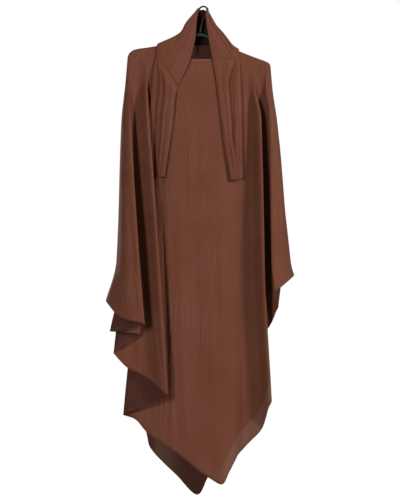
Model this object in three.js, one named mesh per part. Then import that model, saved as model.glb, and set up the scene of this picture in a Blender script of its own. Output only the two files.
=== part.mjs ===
// A long hooded khimar with tie bands, hung on a plain clothes hanger.
// Millimetres. +Z is up, +X is the viewer's right and the front of the garment faces -Y.
// The origin is the point under the top of the hook where a rail or peg bears.
import * as THREE from 'three';

// Cloth
const CLOTH = 1.4;             // wall thickness of one layer of crepe
const SEAM_GAP = 0.3;          // space between two pieces at a seam
const LAP = 3.6;               // distance between two layers that lie on each other
const SAMPLES = 2;             // steps between two fold lines
const ROWS = 14;               // steps from shoulder to hem
const ROW_SPREAD = 1.1;        // above 1, the steps grow longer towards the hem
const TURN_RADIUS = 5;         // radius of the cloth where it turns back on itself
const TURN_SHARE = 0.3;        // most that a turn takes of the cloth beside it
const LEAST_ANGLE = 0.01;      // radians, keeps a straight stretch from dividing by nothing

// Heights where the fold lines are set out
const CHEST_Z = -340;
const WAIST_Z = -760;
const NECKLINE_Z = -165;       // front neckline, below the hook
const NECK_BAND_HEIGHT = 7;
const BACK_NECK_Z = -112;      // seam between hood and back

// Hanger
const ARM_HEIGHT = 12;
const ARM_WIDTH = 9;
const ARM_REACH_LEFT = -213;
const ARM_REACH_RIGHT = 186;
const ARM_MIDDLE_X = -10;
const ARM_CLEARANCE = 2.2;     // under the cloth, which rests on the arm where it bends
const WIRE = 5;                // diameter of the hook's wire
const HOOK_INNER_R = 11;
const HOOK_FIRST_ANGLE = -60;  // degrees, where the stem has turned into the bow
const HOOK_LAST_ANGLE = 205;   // degrees, the free end

// The line over both shoulders where front and back meet, from the left wing to the right.
const SHOULDER = [
  { x: -227.5, z: -151 }, { x: -222, z: -138 }, { x: -205, z: -127 }, { x: -166, z: -120.5 },
  { x: -139, z: -116 }, { x: -94, z: -97 }, { x: -60, z: -86 }, { x: -10, z: -73 },
  { x: 48, z: -101 }, { x: 90, z: -124.5 }, { x: 124, z: -139 }, { x: 163, z: -154 },
  { x: 187, z: -163 }, { x: 196, z: -168 }, { x: 200.5, z: -175 },
];

// How a panel rolls over the hanger's arm: distance down from the seam and out from it.
const ROLL = [
  { down: 0, out: 0.4 }, { down: 0.7, out: 4 }, { down: 5, out: 7.4 }, { down: 15, out: 9 },
];
const SEAM_CORNER = 1.15;      // room for the corner where the shoulder seam turns down
const WING_SEAM_HALF = 0.3;    // from the seam plane to each edge of the wing seams, which lie tilted
// Where a fold begins under the shoulder, and how much of its chest depth and place it has there.
const FOLD_START = { down: 80, share: 0.25, drift: 0.08 };

// Rows of values under named columns.
function tableRows(columns, rows) {
  return rows.map((row) => Object.fromEntries(columns.map((column, i) => [column, row[i]])));
}

// Fold lines of the front, from the left wing seam to the right one. Each runs from the shoulder (top)
// over the chest and waist heights to the hem. turn says that the cloth turns back on itself there. A fold
// line with no y lies in the flat of the panel, and one with topZ starts at the neckline.
const FOLD_COLUMNS = [
  'name', 'turn', 'topX', 'topZ', 'chestX', 'chestY', 'waistX', 'waistY', 'hemX', 'hemY', 'hemZ',
];
const FRONT_FOLDS = tableRows(FOLD_COLUMNS, [
  ['wing seam left', false, -227.5, null, -246, 0, -259.5, 0, -292.5, 0, -878],
  ['edge left', false, -226.5, null, -244, -18, -257, -40, -285, -46, -884],
  ['face of fold A', false, -225, null, -234, -36, -234, -80, -242, -88, -925],
  ['crest A', true, -221, null, -215.7, -45, -187.5, -98, -171.6, -105, -943],
  ['flap behind A', false, -216, null, -221, -32, -210, -70, -226, -80, -960],
  ['turn 2', true, -211, null, -228, -25, -236, -55, -275.7, -64, -967],
  ['tuck', true, -206, null, -217, -22, -204, -50, -186, -60, -975],
  ['turn 3', true, -201, null, -213, -15, -238, -38, -266, -46, -1032],
  ['under face', false, -195, null, -205, -12, -212, -30, -225, -38, -1077],
  ['hollow of fold B', false, -186, null, -186, -20, -170, -38, -166.5, -48, -1106],
  ['crest B', true, -172, null, -161.7, -45, -130.5, -70, -105.3, -76, -1154],
  ['flap behind B', false, -165, null, -171, -20, -162, -30, -172, -38, -1192],
  ['turn 1', true, -160, null, -186, -6, -200, -7, -240, -9, -1221],
  ['under B', false, -150, null, -164, -8, -165, -11, -203, -12, -1234],
  ['panel left', false, -128, null, -130, null, -122, null, -167.4, null, -1273],
  ['panel', false, -106, null, -100, null, -86, null, -91.5, null, -1325],
  ['neck curve left', false, -94, -101.5, -86, null, -78, null, -75, null, -1336],
  ['neck curve left', false, -80, -120, -70, null, -62, null, -57, null, -1350],
  ['neck curve left', false, -66, -142, -56, null, -48, null, -41, null, -1362],
  ['neckline end', false, -52, NECKLINE_Z, -42, null, -33, null, -24, null, -1376],
  ['neckline', false, -40, NECKLINE_Z, -26, null, -16, null, -8, null, -1389],
  ['neckline', false, -6, NECKLINE_Z, 6, null, 14, null, 22, null, -1409],
  ['front point', false, 27, NECKLINE_Z, 34, null, 42, null, 56, null, -1425],
  ['neckline end', false, 40, NECKLINE_Z, 54, null, 64, null, 76, null, -1391],
  ['neck curve right', false, 56, -150, 70, null, 80, null, 90, null, -1366],
  ['neck curve right', false, 74, -138, 85, null, 94, null, 104, null, -1342],
  ['neck curve right', false, 91, -129.5, 100, null, 108, null, 121, null, -1321],
  ['panel', false, 105, null, 114, null, 122, null, 137, null, -1301],
  ['panel right', false, 132, null, 140, null, 147, null, 172.5, null, -1261],
  ['crest R1', true, 150, null, 169.5, -38, 177, -50, 199.5, -46, -1177],
  ['flap behind R1', false, 154, null, 163, -18, 166, -14, 176, -13, -1104],
  ['tuck behind R1', true, 160, null, 149, -5, 134, -6, 112, -6, -1028],
  ['face R2', false, 168, null, 184, -6, 192, -8, 192, -14, -962],
  ['turn R2', true, 178, null, 211, -17, 236, -24, 222, -36, -896],
  ['crest R3', true, 186, null, 196, -42, 200, -74, 208.5, -80, -850],
  ['face R3', false, 194, null, 213, -34, 240, -62, 243, -64, -824],
  ['edge right', false, 199, null, 219, -14, 257, -32, 266, -34, -806],
  ['wing seam right', false, 200.5, null, 220.5, 0, 259.5, 0, 271.5, 0, -803],
]);

// Fold lines of the back, from the right wing seam to the left one.
const BACK_FOLDS = tableRows(FOLD_COLUMNS, [
  ['wing seam right', false, 200.5, null, 220.5, 0, 259.5, 0, 271.5, 0, -803],
  ['edge right', false, 199, null, 219, 14, 254, 30, 262, 32, -808],
  ['face S1', false, 196, null, 211, 31, 236, 64, 236, 68, -838],
  ['crest S1', true, 189, null, 198, 42, 194, 84, 186, 88, -880],
  ['turn S1', true, 182, null, 206, 25, 224, 44, 186, 52, -945],
  ['hollow S2', false, 174, null, 184, 13, 178, 34, 156, 42, -1010],
  ['crest S2', true, 158, null, 156, 44, 138, 68, 116, 72, -1062],
  ['turn S2', true, 148, null, 174, 12, 174, 14, 172, 16, -1130],
  ['panel right', false, 122, null, 130, null, 134, null, 150, null, -1196],
  ['panel', false, 84, null, 90, null, 94, null, 106, null, -1276],
  ['neck curve right', false, 73, -121, 76, null, 78, null, 86, null, -1308],
  ['panel', false, 40, BACK_NECK_Z, 46, null, 48, null, 52, null, -1362],
  ['panel', false, 4, BACK_NECK_Z, 8, null, 8, null, 14, null, -1412],
  ['back point', false, -20, BACK_NECK_Z, -20, null, -20, null, -17.7, null, -1466],
  ['panel', false, -52, BACK_NECK_Z, -56, null, -62, null, -81, null, -1407],
  ['neck curve left', false, -80, -103, -84, null, -90, null, -118, null, -1372],
  ['panel', false, -94, null, -104, null, -108, null, -148.5, null, -1340],
  ['panel left', false, -124, null, -134, 21, -144, 19, -163, 12, -1316],
  ['turn S3', true, -144, null, -170, 12, -180, 12, -172, 9, -1272],
  ['crest S3', true, -157, null, -150, 42, -134, 64, -118, 68, -1190],
  ['hollow S3', false, -174, null, -180, 14, -176, 36, -172, 42, -1128],
  ['turn S4', true, -190, null, -216, 22, -234, 38, -222, 46, -1058],
  ['crest S4', true, -206, null, -206, 44, -188, 88, -166, 92, -976],
  ['face S4', false, -219, null, -228, 34, -232, 68, -238, 72, -936],
  ['edge left', false, -226, null, -244, 16, -257, 32, -282, 34, -888],
  ['wing seam left', false, -227.5, null, -246, 0, -259.5, 0, -292.5, 0, -878],
]);

// Rows of the hood's left half, from the edge behind the hook down to the neck. The face edge and the lap
// lie in front, the ridge over the side, and the middle seam behind.
const HOOD_COLUMNS = [
  'faceX', 'faceY', 'faceZ', 'lapX', 'lapY', 'lapZ', 'ridgeX', 'ridgeZ', 'backY', 'middleY', 'middleZ',
];
const HOOD_LEFT_ROWS = tableRows(HOOD_COLUMNS, [
  [-14, -7, -3, -19, -6, -6, -21.5, -12, 7, 8, -24],
  [-17, -9, -18, -29, -9, -20, -34, -23.5, 9, 11, -36],
  [-20.5, -13, -40, -47, -12, -46, -53, -46, 12, 14, -52],
  [-23, -17, -70, -65, -13, -78, -68, -73, 12, 17, -66],
  [-26, -20, -100, -89, -14, -104, -90, -88, 13, 18, -80],
  [-34, -23, -135, -112, -15, -117, -112, -98, 13, 19, -92],
  [-45, -25, -172, -128, -14.5, -128, -128, -105, 13.5, 20, -102],
  [-76.5, -25.7, -242, -139, -12.9, -140, -139, -110.5, 13, 12.2, -116],
]);
const HOOD_RIGHT_ROWS = tableRows(HOOD_COLUMNS, [
  [8.5, -7, -3, 14, -6, -11, 19, -21, 7, 8, -24],
  [7, -9, -24, 24, -9, -30, 28, -35, 9, 11, -36],
  [9.5, -13, -50, 36, -12, -56, 40, -54.5, 12, 14, -52],
  [13.5, -17, -80, 55, -13, -80, 57, -73.5, 12, 17, -66],
  [17.5, -19, -106, 72, -13, -106, 73, -94, 13, 18, -80],
  [22.5, -18.5, -134, 88, -14, -132, 87, -112, 13, 19, -92],
  [28.5, -17.1, -164, 106.5, -12.9, -150, 106, -125.5, 13, 12.2, -116],
]);

// The tie bands: places on their inner and outer edges, from the hood down to the free end.
const TIE_LEFT_ROWS = [
  { innerX: -76.5, innerZ: -242, outerX: -139, outerZ: -140 },
  { innerX: -84, innerZ: -268, outerX: -148, outerZ: -190 },
  { innerX: -90, innerZ: -320, outerX: -156, outerZ: -270 },
  { innerX: -95, innerZ: -372, outerX: -160.5, outerZ: -345 },
  { innerX: -105, innerZ: -442, outerX: -158, outerZ: -430 },
  { innerX: -115.5, innerZ: -512, outerX: -154.5, outerZ: -514 },
];
const TIE_RIGHT_ROWS = [
  { innerX: 28.5, innerZ: -164, outerX: 106.5, outerZ: -150 },
  { innerX: 37.5, innerZ: -218, outerX: 108.5, outerZ: -205 },
  { innerX: 45, innerZ: -278, outerX: 110, outerZ: -272 },
  { innerX: 52.5, innerZ: -338, outerX: 111, outerZ: -338 },
  { innerX: 64.5, innerZ: -428, outerX: 112, outerZ: -428 },
  { innerX: 83, innerZ: -522, outerX: 113, outerZ: -515 },
];

const clothMaterial = (color) => new THREE.MeshStandardMaterial({
  color, roughness: 0.85, metalness: 0, side: THREE.DoubleSide,
});
const materials = {
  crepe: () => clothMaterial(0x653c30),
  crepeBand: () => clothMaterial(0x6b4236),
  plastic: () => new THREE.MeshStandardMaterial({ color: 0x121011, roughness: 0.45, metalness: 0 }),
  steel: () => new THREE.MeshStandardMaterial({ color: 0x171515, roughness: 0.35, metalness: 0.6 }),
};

// A smooth curve through knots { at, value } with no swing past them.
function smoothTrack(knots) {
  const slopes = knots.slice(1).map((knot, i) => (knot.value - knots[i].value) / (knot.at - knots[i].at));
  const tangents = knots.map((_, i) => {
    const before = slopes[Math.max(0, i - 1)];
    const after = slopes[Math.min(slopes.length - 1, i)];
    return before * after <= 0 ? 0 : (2 * before * after) / (before + after);
  });
  return (at) => {
    const clamped = Math.min(Math.max(at, knots[0].at), knots[knots.length - 1].at);
    let i = 0;
    while (i < knots.length - 2 && clamped > knots[i + 1].at) i += 1;
    const span = knots[i + 1].at - knots[i].at;
    const t = (clamped - knots[i].at) / span;
    const rise = t * t * (3 - 2 * t);
    return knots[i].value * (1 - rise) + knots[i + 1].value * rise
      + span * t * (1 - t) * ((1 - t) * tangents[i] - t * tangents[i + 1]);
  };
}

const shoulderZ = smoothTrack(SHOULDER.map(({ x, z }) => ({ at: x, value: z })));

function easeBetween(value, start, end) {
  const t = Math.min(1, Math.max(0, (value - start) / (end - start)));
  return t * t * (3 - 2 * t);
}

// How far the flat of the front stands out from the seam plane: it leaves the arm, falls into its full
// depth, sinks beside fold B and has a broad trough before crest R1.
const PANEL_DEPTH = 28;
const BACK_DEPTH = 24;
const ROLL_DEPTH = ROLL[ROLL.length - 1].out;
const PANEL_FALL = 240;
const LEFT_SINK = { depth: 13, from: -100, to: -160 };
const RIGHT_TROUGH = { depth: 9, x: 142, width: 27 };
function frontOut(x, z) {
  const fallen = easeBetween(shoulderZ(x) - z, 0, PANEL_FALL);
  const sink = LEFT_SINK.depth * easeBetween(x, LEFT_SINK.from, LEFT_SINK.to);
  const trough = RIGHT_TROUGH.depth * Math.exp(-(((x - RIGHT_TROUGH.x) / RIGHT_TROUGH.width) ** 2));
  return ROLL_DEPTH + (PANEL_DEPTH - ROLL_DEPTH - sink - trough) * fallen;
}
function backOut(x, z) {
  return ROLL_DEPTH + (BACK_DEPTH - ROLL_DEPTH) * easeBetween(shoulderZ(x) - z, 0, PANEL_FALL);
}

// One fold line as a function of the step down from its top to the hem. side is -1 in front, +1 behind.
function foldLine(fold, side, panelOut) {
  const topZ = fold.topZ ?? shoulderZ(fold.topX);
  const onArm = fold.topZ === null;
  const length = topZ - fold.hemZ;
  const downTo = (z) => topZ - z;
  const xAt = smoothTrack([
    { at: 0, value: fold.topX },
    { at: FOLD_START.down, value: THREE.MathUtils.lerp(fold.topX, fold.chestX, FOLD_START.drift) },
    { at: downTo(CHEST_Z), value: fold.chestX },
    { at: downTo(WAIST_Z), value: fold.waistX }, { at: length, value: fold.hemX },
  ]);
  const isSeam = fold.waistY === 0;
  const standOff = (y) => Math.max(Math.abs(y), WING_SEAM_HALF);
  const seamTop = [{ at: 0, value: SEAM_CORNER }, { at: ROLL[2].down, value: WING_SEAM_HALF }];
  const foldTop = [
    ...ROLL.map(({ down, out }) => ({ at: down, value: out })),
    { at: FOLD_START.down, value: THREE.MathUtils.lerp(ROLL_DEPTH, standOff(fold.chestY), FOLD_START.share) },
  ];
  const outAt = fold.waistY === null ? null : smoothTrack([
    ...(isSeam ? seamTop : foldTop),
    { at: downTo(CHEST_Z), value: standOff(fold.chestY) },
    { at: downTo(WAIST_Z), value: standOff(fold.waistY) },
    { at: length, value: standOff(fold.hemY) },
  ]);
  const rollAt = smoothTrack(ROLL.map(({ down, out }) => ({ at: down, value: out })));
  return (row) => {
    const rolled = Math.min(row, ROLL.length - 1);
    const share = Math.max(0, row - rolled) / (ROWS - rolled);
    const rollDown = onArm ? ROLL[rolled].down : (ROLL[ROLL.length - 1].down * rolled) / (ROLL.length - 1);
    const down = row < ROLL.length ? rollDown : rollDown + (length - rollDown) * share ** ROW_SPREAD;
    const x = xAt(down);
    const z = topZ - down;
    const flat = onArm && down < ROLL[ROLL.length - 1].down ? rollAt(down) : panelOut(x, z);
    return new THREE.Vector3(x, side * (outAt ? outAt(down) : flat), z);
  };
}

// Where the cloth turns back, a point on each leg beside the fold line keeps the turn round. The turn is
// laid out in plan, and its height follows the legs.
function roundedTurn(before, tip, after) {
  const plan = (point) => new THREE.Vector2(point.x, point.y);
  const legIn = plan(before).sub(plan(tip));
  const legOut = plan(after).sub(plan(tip));
  const lengths = [legIn.length(), legOut.length()];
  const radius = Math.min(TURN_RADIUS, TURN_SHARE * Math.min(...lengths));
  legIn.normalize();
  legOut.normalize();
  const across = legIn.clone().sub(legOut).normalize();
  const inward = legIn.clone().add(legOut);
  const halfAngle = Math.acos(THREE.MathUtils.clamp(inward.length() / 2, 0, 1));
  inward.normalize().multiplyScalar(radius * Math.min(1, 1 / Math.tan(Math.max(halfAngle, LEAST_ANGLE))));
  const beside = (sign, neighbour, length) => {
    const offset = inward.clone().addScaledVector(across, sign * radius);
    const z = THREE.MathUtils.lerp(tip.z, neighbour.z, Math.min(1, offset.length() / length));
    return new THREE.Vector3(tip.x + offset.x, tip.y + offset.y, z);
  };
  return [beside(1, before, lengths[0]), tip, beside(-1, after, lengths[1])];
}

// All rows of a panel, each a smooth curve through its fold lines. On the arm, the rows follow its slope.
function panelGrid(folds, side, panelOut) {
  const lines = folds.map((fold) => foldLine(fold, side, panelOut));
  const onArm = folds.flatMap((fold) => Array(fold.turn ? 3 : 1).fill(fold.topZ === null));
  return Array.from({ length: ROWS + 1 }, (_, row) => {
    const onLines = lines.map((line) => line(row));
    const points = onLines.flatMap((point, i) => (
      folds[i].turn ? roundedTurn(onLines[i - 1], point, onLines[i + 1]) : [point]));
    const curve = new THREE.CatmullRomCurve3(points, false, 'centripetal');
    const steps = (points.length - 1) * SAMPLES;
    return Array.from({ length: steps + 1 }, (_, i) => {
      const point = curve.getPoint(i / steps);
      const held = onArm[Math.floor(i / SAMPLES)] && onArm[Math.ceil(i / SAMPLES)];
      if (row < ROLL.length && held) {
        point.z = shoulderZ(point.x) - ROLL[row].down;
        point.y = side * Math.min(Math.abs(point.y), ROLL[row].out);
      }
      return point;
    });
  });
}

// A closed wall of even thickness about a grid of points on its middle surface.
function wallGeometry(grid, thickness = CLOTH) {
  const rows = grid.length;
  const cols = grid[0].length;
  const at = (r, c) => grid[Math.min(rows - 1, Math.max(0, r))][Math.min(cols - 1, Math.max(0, c))];
  const position = [];
  for (const half of [thickness / 2, -thickness / 2]) {
    for (let r = 0; r < rows; r += 1) {
      for (let c = 0; c < cols; c += 1) {
        const along = at(r, c + 1).clone().sub(at(r, c - 1));
        const down = at(r + 1, c).clone().sub(at(r - 1, c));
        const normal = down.cross(along).normalize();
        position.push(...grid[r][c].clone().addScaledVector(normal, half).toArray());
      }
    }
  }
  const index = [];
  const quad = (a, b, c, d) => index.push(a, b, c, a, c, d);
  const face = (layer, r, c) => (layer * rows + r) * cols + c;
  for (let r = 0; r < rows - 1; r += 1) {
    for (let c = 0; c < cols - 1; c += 1) {
      quad(face(0, r, c), face(0, r + 1, c), face(0, r + 1, c + 1), face(0, r, c + 1));
      quad(face(1, r, c), face(1, r, c + 1), face(1, r + 1, c + 1), face(1, r + 1, c));
    }
    quad(face(0, r, 0), face(1, r, 0), face(1, r + 1, 0), face(0, r + 1, 0));
    quad(face(0, r, cols - 1), face(0, r + 1, cols - 1), face(1, r + 1, cols - 1), face(1, r, cols - 1));
  }
  for (let c = 0; c < cols - 1; c += 1) {
    quad(face(0, 0, c), face(0, 0, c + 1), face(1, 0, c + 1), face(1, 0, c));
    quad(face(0, rows - 1, c), face(1, rows - 1, c), face(1, rows - 1, c + 1), face(0, rows - 1, c + 1));
  }
  return closedGeometry(position, index);
}

// A closed mesh with its faces turned outwards.
function closedGeometry(position, index) {
  const corner = (i) => new THREE.Vector3().fromArray(position, index[i] * 3);
  let volume = 0;
  for (let i = 0; i < index.length; i += 3) {
    volume += corner(i).dot(corner(i + 1).cross(corner(i + 2)));
  }
  if (volume < 0) index.reverse();
  const geometry = new THREE.BufferGeometry();
  geometry.setAttribute('position', new THREE.Float32BufferAttribute(position, 3));
  geometry.setIndex(index);
  geometry.computeVertexNormals();
  return geometry;
}

// A bar of oval section along a path in the XZ plane, with rounded ends.
const END_STEPS = [0.35, 0.8]; // sizes of the rings that round an end, as shares of the section
function ovalBar(path, height, width, sides) {
  const last = path.length - 1;
  const rings = path.map((point, i) => {
    const tangent = path[Math.min(last, i + 1)].clone().sub(path[Math.max(0, i - 1)]).normalize();
    return { point, tangent, scale: 1 };
  });
  const rounded = (ring, direction) => END_STEPS.map((scale) => ({
    point: ring.point.clone().addScaledVector(ring.tangent, direction * (height / 2) * (1 - scale)),
    tangent: ring.tangent,
    scale,
  }));
  const all = [...rounded(rings[0], -1), ...rings, ...rounded(rings[last], 1).reverse()];
  const position = [];
  for (const { point, tangent, scale } of all) {
    const up = new THREE.Vector3(-tangent.z, 0, tangent.x);
    for (let s = 0; s < sides; s += 1) {
      const angle = (2 * Math.PI * s) / sides;
      const offset = up.clone().multiplyScalar((scale * height * Math.cos(angle)) / 2);
      offset.y += (scale * width * Math.sin(angle)) / 2;
      position.push(...point.clone().add(offset).toArray());
    }
  }
  const index = [];
  const ringAt = (r, s) => r * sides + (s % sides);
  for (let r = 0; r < all.length - 1; r += 1) {
    for (let s = 0; s < sides; s += 1) {
      index.push(ringAt(r, s), ringAt(r + 1, s), ringAt(r + 1, s + 1));
      index.push(ringAt(r, s), ringAt(r + 1, s + 1), ringAt(r, s + 1));
    }
  }
  for (let s = 1; s < sides - 1; s += 1) {
    index.push(ringAt(0, 0), ringAt(0, s), ringAt(0, s + 1));
    index.push(ringAt(all.length - 1, 0), ringAt(all.length - 1, s + 1), ringAt(all.length - 1, s));
  }
  return closedGeometry(position, index);
}

// A grid whose rows are smooth curves through the points that each table row gives.
function rowsToGrid(rows, rowPoints, downSteps, acrossSteps) {
  const across = rows.map((row) => {
    const curve = new THREE.CatmullRomCurve3(rowPoints(row), false, 'centripetal');
    return Array.from({ length: acrossSteps + 1 }, (_, i) => curve.getPoint(i / acrossSteps));
  });
  const lines = across[0].map((_, c) => (
    new THREE.CatmullRomCurve3(across.map((row) => row[c]), false, 'centripetal')));
  return Array.from({ length: downSteps + 1 }, (_, r) => lines.map((line) => line.getPoint(r / downSteps)));
}

// One half of the hood: face edge, lap over the chest, ridge over the side, back, middle seam.
const HOOD_BACK_SPREAD = 0.55;
const HOOD_BACK_SAG = 2;
const HOOD_SEAM_HALF = 0.3;    // from the middle to each half's edge
const LAP_BULGE = { least: 1, share: 0.01 }; // how far the lap stands out, and more by its width
const LAP_EDGE = { reach: 14, share: 0.5 };  // a wide lap stays straight to this near its outer edge
const RIDGE_ROUND = 0.75;      // share of the lap's depth at which the ridge turns over
const RIDGE_DROP = 0.45;
function hoodPoints(row, sign) {
  const middleX = sign * HOOD_SEAM_HALF;
  const backX = middleX + (row.ridgeX - middleX) * HOOD_BACK_SPREAD;
  const ridgeSide = (y) => new THREE.Vector3(
    row.ridgeX, y * RIDGE_ROUND, row.ridgeZ - Math.abs(y) * RIDGE_ROUND * RIDGE_DROP);
  const face = new THREE.Vector3(row.faceX, row.faceY, row.faceZ);
  const lap = new THREE.Vector3(row.lapX, row.lapY, row.lapZ);
  const width = face.distanceTo(lap);
  const straightTo = Math.max(LAP_EDGE.share, 1 - LAP_EDGE.reach / width);
  const between = face.clone().lerp(lap, straightTo);
  between.y -= LAP_BULGE.least + LAP_BULGE.share * width;
  return [
    face,
    between,
    lap,
    ridgeSide(row.lapY),
    new THREE.Vector3(row.ridgeX, 0, row.ridgeZ),
    ridgeSide(row.backY),
    new THREE.Vector3(backX, row.backY, (row.ridgeZ + row.middleZ) / 2 - HOOD_BACK_SAG),
    new THREE.Vector3(middleX, row.middleY, row.middleZ),
  ];
}

// A tie lies on the front: each point is the panel's own, moved out.
const TIE_ACROSS = 6;
const TIE_DOWN = 12;
const TIE_RIDGE = 3;           // height of the soft ridge along its middle
const TIE_KNOTS = 4;
const TIE_START = 1.5;         // below the hood's slanted edge
function tieGrid(rows) {
  const onPanel = (x, z, across) => {
    const ridge = TIE_RIDGE * Math.sin(Math.PI * across);
    return new THREE.Vector3(x, -(frontOut(x, z) + LAP + ridge), z - TIE_START);
  };
  return rowsToGrid(rows, (row) => Array.from({ length: TIE_KNOTS + 1 }, (_, i) => {
    const across = i / TIE_KNOTS;
    const x = THREE.MathUtils.lerp(row.innerX, row.outerX, across);
    const z = THREE.MathUtils.lerp(row.innerZ, row.outerZ, across);
    return onPanel(x, z, across);
  }), TIE_DOWN, TIE_ACROSS);
}

// The turned edge that stands along the front neckline.
const NECK_BAND_FROM = -42;
const NECK_BAND_TO = 29;
const NECK_BAND_STEPS = 8;
const NECK_BAND_LEAN = 1.2;
function neckBandGrid() {
  return [1, 0.5, 0].map((up) => Array.from({ length: NECK_BAND_STEPS + 1 }, (_, i) => {
    const x = THREE.MathUtils.lerp(NECK_BAND_FROM, NECK_BAND_TO, i / NECK_BAND_STEPS);
    const z = NECKLINE_Z + SEAM_GAP + up * NECK_BAND_HEIGHT;
    return new THREE.Vector3(x, -frontOut(x, NECKLINE_Z) + up * NECK_BAND_LEAN, z);
  }));
}

const ARM_STEPS = 9;           // from the middle to each end
function armPath() {
  const below = CLOTH / 2 + ARM_CLEARANCE + ARM_HEIGHT / 2;
  return Array.from({ length: 2 * ARM_STEPS + 1 }, (_, i) => {
    const share = i / ARM_STEPS - 1;
    const reach = share < 0 ? ARM_REACH_LEFT : ARM_REACH_RIGHT;
    const x = THREE.MathUtils.lerp(ARM_MIDDLE_X, reach, Math.abs(share));
    return new THREE.Vector3(x, 0, shoulderZ(x) - below);
  });
}

// The hook's stem leans to the right on its way up to the bow.
const HOOK_STEM = [{ right: 0, up: 0 }, { right: 2.5, up: 14 }, { right: 5, up: 26 }, { right: 9.5, up: 36 }];
const BOW_STEPS = 18;
function hookPath() {
  const radius = HOOK_INNER_R + WIRE / 2;
  const armTop = armPath()[ARM_STEPS].z + ARM_HEIGHT / 2;
  const footZ = armTop + SEAM_GAP + (1 - END_STEPS[0]) * (WIRE / 2);
  const stem = HOOK_STEM.map(({ right, up }) => new THREE.Vector3(ARM_MIDDLE_X + right, 0, footZ + up));
  const bow = Array.from({ length: BOW_STEPS + 1 }, (_, i) => {
    const degrees = THREE.MathUtils.lerp(HOOK_FIRST_ANGLE, HOOK_LAST_ANGLE, i / BOW_STEPS);
    const angle = THREE.MathUtils.degToRad(degrees);
    return new THREE.Vector3(radius * Math.cos(angle), 0, -HOOK_INNER_R + radius * Math.sin(angle));
  });
  return [...stem, ...bow];
}

const HOOD_DOWN = 10;
const HOOD_ACROSS = 21;
const ARM_SIDES = 10;
const WIRE_SIDES = 8;
const khimar = new THREE.Group();
function add(name, geometry, material) {
  const mesh = new THREE.Mesh(geometry, material);
  mesh.name = name;
  khimar.add(mesh);
}

const hoodGrid = (rows, sign) => rowsToGrid(rows, (row) => hoodPoints(row, sign), HOOD_DOWN, HOOD_ACROSS);

add('front_panel', wallGeometry(panelGrid(FRONT_FOLDS, -1, frontOut)), materials.crepe());
add('back_panel', wallGeometry(panelGrid(BACK_FOLDS, 1, backOut)), materials.crepe());
add('hood_left', wallGeometry(hoodGrid(HOOD_LEFT_ROWS, -1)), materials.crepe());
add('hood_right', wallGeometry(hoodGrid(HOOD_RIGHT_ROWS, 1)), materials.crepe());
add('neck_band', wallGeometry(neckBandGrid()), materials.crepeBand());
add('tie_left', wallGeometry(tieGrid(TIE_LEFT_ROWS)), materials.crepeBand());
add('tie_right', wallGeometry(tieGrid(TIE_RIGHT_ROWS)), materials.crepeBand());
add('hanger_arms', ovalBar(armPath(), ARM_HEIGHT, ARM_WIDTH, ARM_SIDES), materials.plastic());
add('hanger_hook', ovalBar(hookPath(), WIRE, WIRE, WIRE_SIDES), materials.steel());

export default khimar;
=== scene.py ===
import math

import bpy
import numpy as np
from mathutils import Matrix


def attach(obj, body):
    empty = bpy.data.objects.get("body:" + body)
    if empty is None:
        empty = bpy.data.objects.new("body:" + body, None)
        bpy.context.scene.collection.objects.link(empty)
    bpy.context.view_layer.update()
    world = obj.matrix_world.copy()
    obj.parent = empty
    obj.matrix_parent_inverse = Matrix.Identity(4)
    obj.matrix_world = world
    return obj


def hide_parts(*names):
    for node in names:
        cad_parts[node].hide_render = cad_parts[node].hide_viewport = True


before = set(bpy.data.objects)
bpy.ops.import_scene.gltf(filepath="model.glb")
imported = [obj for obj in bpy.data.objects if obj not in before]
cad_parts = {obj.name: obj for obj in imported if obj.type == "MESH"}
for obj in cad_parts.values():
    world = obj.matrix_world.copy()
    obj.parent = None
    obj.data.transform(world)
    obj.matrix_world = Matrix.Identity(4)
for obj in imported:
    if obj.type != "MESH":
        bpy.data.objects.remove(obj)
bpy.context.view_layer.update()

MM = 0.001  # the tables are in millimetres

# The view: a level camera at the height of the garment's middle, a small pale floor below the hem, and
# three soft lamps, two in front and one behind. The camera sees the world behind it all as plain white.
CAMERA_AT = (-0.0105, -3.5, -0.728)
LENS = 84
FLOOR_Z = -1.85
FLOOR_HALF = 1.2
FILL_STRENGTH = 0.14   # how strongly the world lights the cloth
BACKGROUND_STRENGTH = 1.0

scene = bpy.context.scene
camera_data = bpy.data.cameras.new("camera")
camera_data.lens = LENS
camera = bpy.data.objects.new("camera", camera_data)
camera.location = CAMERA_AT
camera.rotation_euler = (math.pi / 2, 0, 0)
scene.collection.objects.link(camera)
scene.camera = camera
scene.view_settings.view_transform = "Standard"


def linear(hex_colour):
    """An sRGB hex colour as linear red, green, blue and alpha."""
    parts = [int(hex_colour[i:i + 2], 16) / 255 for i in (1, 3, 5)]
    return [p / 12.92 if p <= 0.04045 else ((p + 0.055) / 1.055) ** 2.4 for p in parts] + [1.0]


def add_node(tree, kind, values=None, links=None, **settings):
    """Adds a node with its settings, its input values and the sockets linked to its inputs."""
    node = tree.nodes.new(kind)
    for key, value in settings.items():
        setattr(node, key, value)
    for key, value in (values or {}).items():
        node.inputs[key].default_value = value
    for key, socket in (links or {}).items():
        tree.links.new(socket, node.inputs[key])
    return node


def new_material(name):
    material = bpy.data.materials.new(name)
    material.use_nodes = True
    material.node_tree.nodes.clear()
    return material


def lamp(name, at, aim, size, power):
    data = bpy.data.lights.new(name, "AREA")
    data.shape = "RECTANGLE"
    data.size, data.size_y = size
    data.energy = power
    light = bpy.data.objects.new(name, data)
    light.location = at
    direction = np.array(aim) - np.array(at)
    across = math.atan2(direction[1], direction[0]) - math.pi / 2
    tilt = math.atan2(math.hypot(direction[0], direction[1]), -direction[2])
    light.rotation_euler = (tilt, 0, across)
    scene.collection.objects.link(light)


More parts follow.
